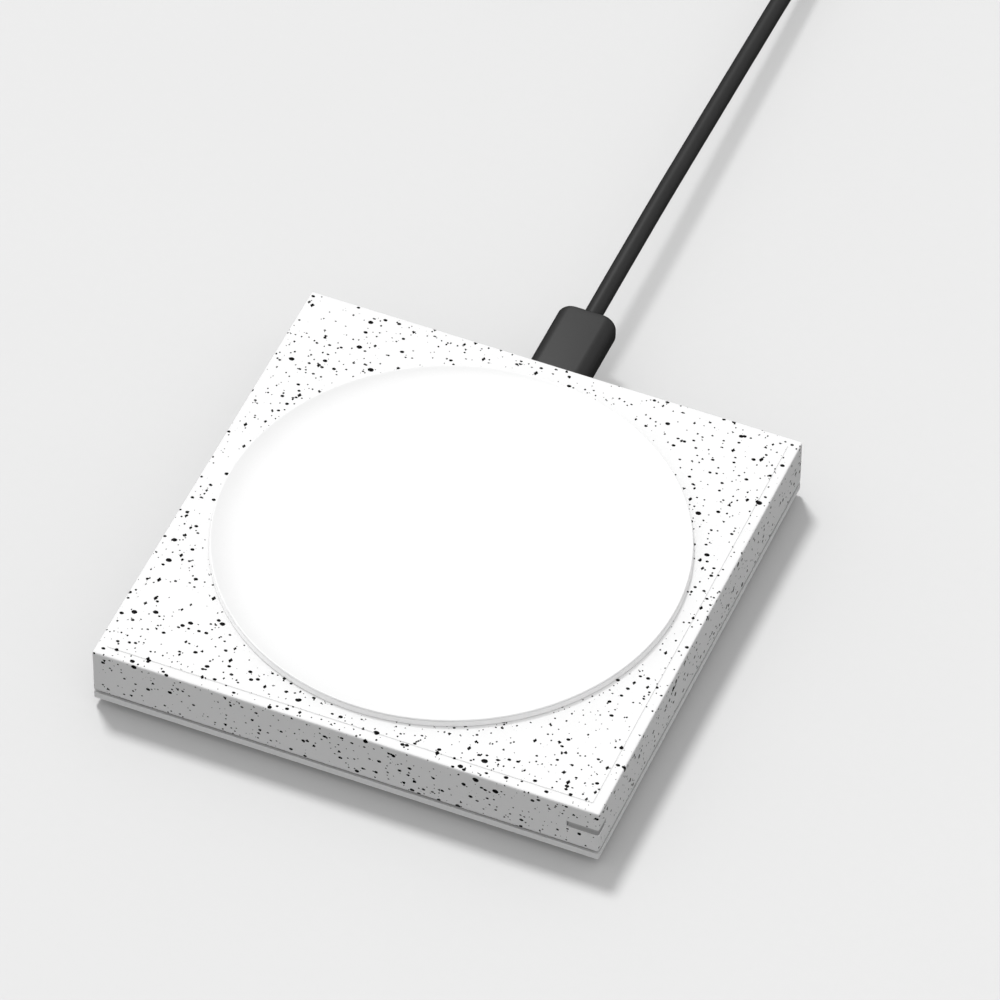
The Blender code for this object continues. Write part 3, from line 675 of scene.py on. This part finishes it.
# %% Colour and skin of the speckled plastic
cloud_length = 12.0
skin_grain = 0.3
skin_relief = 0.006 * mm
cloud = add_node(
    speckled_abs,
    "ShaderNodeTexNoise",
    {"Vector": place, "Scale": per_metre(cloud_length), "Detail": 2.0},
)
white = add_node(
    speckled_abs,
    "ShaderNodeMix",
    {"Factor": cloud.outputs["Fac"], "A": linear("#E9E9E9"), "B": linear("#EDEDED")},
    data_type="RGBA",
)
speckled = add_node(
    speckled_abs,
    "ShaderNodeMix",
    {"Factor": flakes, "A": white.outputs[2], "B": linear("#121212")},
    data_type="RGBA",
)
skin = add_node(
    speckled_abs,
    "ShaderNodeTexNoise",
    {"Vector": place, "Scale": per_metre(skin_grain), "Detail": 2.0},
)
skin_lift = add_node(
    speckled_abs,
    "ShaderNodeBump",
    {"Height": skin.outputs["Fac"], "Strength": 0.4, "Distance": skin_relief},
)
skin_rough = add_node(
    speckled_abs,
    "ShaderNodeMapRange",
    {"Value": skin.outputs["Fac"], "From Min": 0.3, "From Max": 0.7, "To Min": 0.5, "To Max": 0.6},
)
speckled_links = speckled_abs.node_tree.links
speckled_links.new(speckled.outputs[2], speckled_shader.inputs["Base Color"])
speckled_links.new(skin_lift.outputs[0], speckled_shader.inputs["Normal"])
speckled_links.new(skin_rough.outputs[0], speckled_shader.inputs["Roughness"])
print("housing finish:", speckled_abs.name)

# %% [markdown]
# ## The plain pieces
#
# The base, the screws and most of what is inside keep their CAD shapes, because those are right. Each gets
# the finish of what it is made of. A graph could be drawn for each, but moulded, cast and rolled surfaces
# differ mainly in colour, grain and gloss, so one function makes them all.

# %% Finishes for the carried-over pieces
# Plain ABS, moulded against a fine spark-eroded tool: matt white
plain_abs = grained(
    "plain_abs", "#EDEDED", "#E9E9E9", grain=0.3, relief=0.008, rough_low=0.5, rough_high=0.6,
    Specular_IOR_Level=0.05,
)
# The base is the same ABS, with painted shade in its parting gap: what the gap shows of the base is painted
# darker grey, so the gap reads as a dark line on every side
base_side_top = 3.25 * mm
painted_gap_shade_low = base_side_top - 0.03 * mm
painted_gap_shade_high = base_side_top - 0.01 * mm
base_abs = paint_light_and_shade_by_height(
    grained(
        "base_abs", "#EDEDED", "#E9E9E9", grain=0.3, relief=0.008, rough_low=0.5, rough_high=0.6,
        Specular_IOR_Level=0.05,
    ),
    painted_gap_shade_low, painted_gap_shade_high, "#BEBEBE",
)
# Nickel-plated steel, rolled and stamped: bright, with a slightly uneven gloss
plated_steel = grained(
    "plated_steel", "#C9CACC", "#B6B7B9", grain=0.15, relief=0.004, rough_low=0.22, rough_high=0.36,
    Metallic=1.0,
)
# Copper wire, drawn and enamelled: warm and glossy
enamelled_copper = grained(
    "enamelled_copper", "#D98A52", "#B9683A", grain=0.4, relief=0.004, rough_low=0.22, rough_high=0.34,
    Metallic=1.0,
)
# Green solder mask, printed over glass fibre: glossy, with a faint weave
solder_mask = grained(
    "solder_mask", "#1E6B3A", "#14532C", grain=0.6, relief=0.02, rough_low=0.28, rough_high=0.4,
)
# Moulded epoxy of chips and sensors: dull black
moulded_epoxy = grained(
    "moulded_epoxy", "#2C2C2E", "#222224", grain=0.2, relief=0.01, rough_low=0.45, rough_high=0.6,
)
# Sintered ferrite, dark and stony
sintered_ferrite = grained(
    "sintered_ferrite", "#3C3C40", "#2A2A2D", grain=0.25, relief=0.02, rough_low=0.55, rough_high=0.75,
)
# Fired ceramic of the capacitors: tan and satin
fired_ceramic = grained(
    "fired_ceramic", "#C9B593", "#B49F7D", grain=0.2, relief=0.008, rough_low=0.35, rough_high=0.5,
)
# Smoked polycarbonate of the light window, with painted light: its upper edge is painted paler grey
window_low, window_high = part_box("light_pipe")
window_painted_light_low = window_low.z + 0.6 * (window_high.z - window_low.z)
smoked_polycarbonate = paint_light_and_shade_by_height(
    grained(
        "smoked_polycarbonate", "#AEAEAE", "#A8A8A8", grain=0.5, relief=0.004,
        rough_low=0.25, rough_high=0.35, Specular_IOR_Level=0.2,
    ),
    window_painted_light_low, window_high.z, "#C6C6C6",
)
# Acrylic transfer adhesive, cast as a film: milky and dull
acrylic_adhesive = grained(
    "acrylic_adhesive", "#D6D5CF", "#C7C6BF", grain=0.4, relief=0.02, rough_low=0.5, rough_high=0.7,
)

# %% Give each node its finish
finishes = {
    "speckled_plastic": speckled_abs,
    "silicone": silicone_rubber,
    "adhesive": acrylic_adhesive,
    "base_plastic": plain_abs,
    "rubber": nitrile_rubber,
    "steel": plated_steel,
    "board": solder_mask,
    "black_plastic": moulded_epoxy,
    "ferrite": sintered_ferrite,
    "ceramic": fired_ceramic,
    "smoked_plastic": smoked_polycarbonate,
    "copper": enamelled_copper,
    "cord_black": soft_vinyl,
}
for row in frame["record"]["subparts"]:
    node = nodes[row["node"]]
    node.data.materials.clear()
    node.data.materials.append(finishes[row["material_slot"]])
nodes["base_cover"].data.materials[0] = base_abs

# %% [markdown]
# ## Feet and windings
#
# The feet are pads of rubber with softened edges, so each is a turned profile. The charging coil and its
# two ends are enamelled wire. A stack of rings would look like it, but the real one is a single wire, so a
# ring of points is carried along the same winding as in the CAD model, in the plane of the sideways
# direction and the upward one.

# %% Feet
foot_edge = 0.4 * mm
foot_steps = 96
cap_share = 0.6
for number in range(1, 5):
    low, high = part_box(f"rubber_foot_{number}")
    centre = (low + high) / 2
    radius = (high.x - low.x) / 2
    bend = arc(0.0, 90.0, 8)
    foot_profile = np.vstack([
        (cap_share * radius, high.z),
        (radius, high.z),
        np.column_stack([radius - foot_edge * (1 - np.cos(bend)), low.z + foot_edge * (1 - np.sin(bend))]),
        (cap_share * radius, low.z),
    ])
    foot = surface(
        f"foot_{number}", turned_rings(foot_profile, foot_steps, centre), nitrile_rubber, "pad"
    )
    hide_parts(f"rubber_foot_{number}")

# %% Windings
def wire_rings(path, diameter, sides=12):
    """Circles about a path: centre + r (side cos a + up sin a), side = tangent x Z, up = side x tangent."""
    tangent = np.gradient(path, axis=0)
    tangent /= np.linalg.norm(tangent, axis=1, keepdims=True)
    sideways = np.cross(tangent, (0.0, 0.0, 1.0))
    sideways /= np.linalg.norm(sideways, axis=1, keepdims=True)
    upwards = np.cross(sideways, tangent)
    angle = -arc(0.0, 360.0, sides + 1)[:-1]
    ring = sideways[:, None] * np.cos(angle)[None, :, None] + upwards[:, None] * np.sin(angle)[None, :, None]
    return path[:, None] + diameter / 2 * ring


wire_diameter = 1.0 * mm
winding_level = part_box("charging_coil")[0].z + wire_diameter / 2
winding = wound_path(
    centre=(0.0, 0.0, winding_level),
    outer_radius=22.0 * mm,
    turn_pitch=1.85 * mm,
    turns=6,
    layer_pitch=1.45 * mm,
    dip=0.5 * mm,
    way=-1,
    per_turn=60,
)
winding = np.vstack([
    winding[0] + (0.0, wire_diameter, 0.0),
    winding,
    winding[-1] + (0.0, wire_diameter, 0.0),
])
charging_winding = surface(
    "charging_winding", wire_rings(winding, wire_diameter), enamelled_copper, "pad", sharp=60.0
)
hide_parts("charging_coil")

# %% Winding ends
lead_drop_run = 3.0 * mm
for number in (1, 2):
    low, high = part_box(f"coil_lead_{number}")
    x = (low.x + high.x) / 2
    start_level = high.z - wire_diameter / 2
    board_level = low.z + wire_diameter / 2
    drop_end = high.y - wire_diameter
    drop_start = drop_end - lead_drop_run
    route = [
        (x, low.y, start_level),
        (x, low.y + wire_diameter, start_level),
        (x, drop_start, start_level),
        (x, (drop_start + drop_end) / 2, (start_level + board_level) / 2),
        (x, drop_end, board_level),
        (x, high.y, board_level),
    ]
    winding_end = surface(
        f"winding_end_{number}",
        wire_rings(smooth_path(route, 6), wire_diameter),
        enamelled_copper, "pad", sharp=60.0,
    )
    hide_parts(f"coil_lead_{number}")

# %% [markdown]
# ## Floor and light
#
# The picture has the light of a white tent: an even dome lights everything, and one smaller lamp behind
# the left shoulder of the pad draws its short shadow and the thin shadow beside the cord. The floor is a
# plain pale sweep. It throws no light back, so the pad's front and right sides stay as grey as they are
# in the picture. Two lamps beside the first one light the floor alone, because its shadows are deeper
# than those on the pad, and the pad's shadow is deeper than the cord's. A low lamp on the left lights the
# disc alone. Gloss comes from the lamps and from a few soft boxes, which matt surfaces don't see, and not
# from the dome, so the black vinyl stays black on its sides.

# %% Floor
# Matt paper: even and without gloss, with a faint glow that keeps its shadows as pale as in the picture
floor_paper = grained(
    "floor_paper", "#ADADAD", "#ACACAC", grain=2.0, relief=0.0, rough_low=0.8, rough_high=0.9,
    Specular_IOR_Level=0.0, Emission_Color=linear("#FFFFFF"), Emission_Strength=0.085,
)
floor_half = 4.0
floor_drop = 0.02 * mm
floor_mesh = bpy.data.meshes.new("floor")
floor_mesh.from_pydata(
    [(x * floor_half, y * floor_half, -floor_drop) for x, y in ((-1, -1), (1, -1), (1, 1), (-1, 1))],
    [],
    [(0, 1, 2, 3)],
)
floor_mesh.materials.append(floor_paper)
floor = bpy.data.objects.new("floor", floor_mesh)
floor.visible_diffuse = False
floor.visible_glossy = False
bpy.context.scene.collection.objects.link(floor)
print("floor", 2 * floor_half, "m wide")

# %% Lamps
shoulder = Vector((-0.385, 0.393, 1.0))
low_left = Vector((-1.0, 0.0, 0.22))
lamp_angle = math.radians(11.0)


def add_lamp(name, strength, lamp_from=shoulder):
    """A distant lamp, by default behind the left shoulder of the pad, wide enough for a soft shadow edge."""
    lamp = bpy.data.objects.new(name, bpy.data.lights.new(name, "SUN"))
    lamp.data.energy = strength
    lamp.data.angle = lamp_angle
    lamp.rotation_euler = lamp_from.to_track_quat("Z", "Y").to_euler()
    bpy.context.scene.collection.objects.link(lamp)
    print(name, strength)
    return lamp


def linked_group(name, members):
    """A collection that says what a lamp lights, or what shades it."""
    group = bpy.data.collections.new(name)
    for member in members:
        group.objects.link(member)
    return group


add_lamp("key_lamp", 1.09)
floor_only = linked_group("floor_only", [floor])
floor_lamp = add_lamp("floor_lamp", 0.61)
floor_lamp.light_linking.receiver_collection = floor_only
pad_shadow_lamp = add_lamp("pad_shadow_lamp", 1.63)
pad_shadow_lamp.light_linking.receiver_collection = floor_only
pad_shadow_lamp.light_linking.blocker_collection = linked_group(
    "pad_only", [nodes["top_housing"], nodes["base_cover"], disc]
)
# The disc's left edge is nearly white in the picture and the dish inside it is shaded, so a low lamp from
# the left lights the disc alone
edge_lamp = add_lamp("edge_lamp", 0.95, low_left)
edge_lamp.light_linking.receiver_collection = linked_group("disc_only", [disc])

# %% Soft boxes
box_distance = 2.0
box_light = 1.0
# The boxes above and below are for bare metal alone, which mirrors so much that it would look black without
# them. The one below stands for the pale floor
bare_metal = linked_group(
    "bare_metal",
    [nodes[row["node"]] for row in frame["record"]["subparts"] if row["material_slot"] == "steel"],
)
# Each box: its side, where it stands, its width and height in metres, and whether bare metal alone sees it
soft_boxes = [
    ("left", Vector((-1.0, 0.0, 0.6)), 1.5, 1.0, False),
    ("front", Vector((0.0, -1.0, 0.6)), 1.5, 1.0, False),
    ("right", Vector((1.0, 0.0, 0.6)), 1.5, 1.0, False),
    ("above", Vector((0.0, 0.0, 1.0)), 8.0, 8.0, True),
    ("below", Vector((0.0, 0.0, -1.0)), 8.0, 8.0, True),
]
for side, box_from, box_width, box_height, metal_alone in soft_boxes:
    soft_box = bpy.data.objects.new(f"soft_box_{side}", bpy.data.lights.new(f"soft_box_{side}", "AREA"))
    soft_box.data.shape = "RECTANGLE"
    soft_box.data.size = box_width
    soft_box.data.size_y = box_height
    soft_box.data.energy = box_light * math.pi * box_width * box_height
    soft_box.location = box_distance * box_from.normalized()
    soft_box.rotation_euler = box_from.to_track_quat("Z", "Y").to_euler()
    soft_box.visible_camera = False
    soft_box.visible_diffuse = False
    if metal_alone:
        soft_box.light_linking.receiver_collection = bare_metal
        soft_box.light_linking.blocker_collection = bare_metal
    bpy.context.scene.collection.objects.link(soft_box)
print(len(soft_boxes), "soft boxes")

# %% Dome
dome_light = 0.915
world = bpy.data.worlds.new("tent")
world.use_nodes = True
world.cycles_visibility.glossy = False
direction = add_node(world, "ShaderNodeTexCoord").outputs["Generated"]
height = add_node(world, "ShaderNodeSeparateXYZ", {"Vector": direction}).outputs["Z"]
above = add_node(world, "ShaderNodeMath", {0: height, 1: 0.0}, operation="GREATER_THAN").outputs[0]
strength = add_node(world, "ShaderNodeMath", {0: above, 1: dome_light}, operation="MULTIPLY").outputs[0]
background = world.node_tree.nodes["Background"]
background.inputs["Color"].default_value = linear("#FFFFFF")
world.node_tree.links.new(strength, background.inputs["Strength"])
bpy.context.scene.world = world
bpy.context.scene.view_settings.view_transform = "Standard"
bpy.context.scene.view_settings.look = "None"
print("dome light", dome_light)
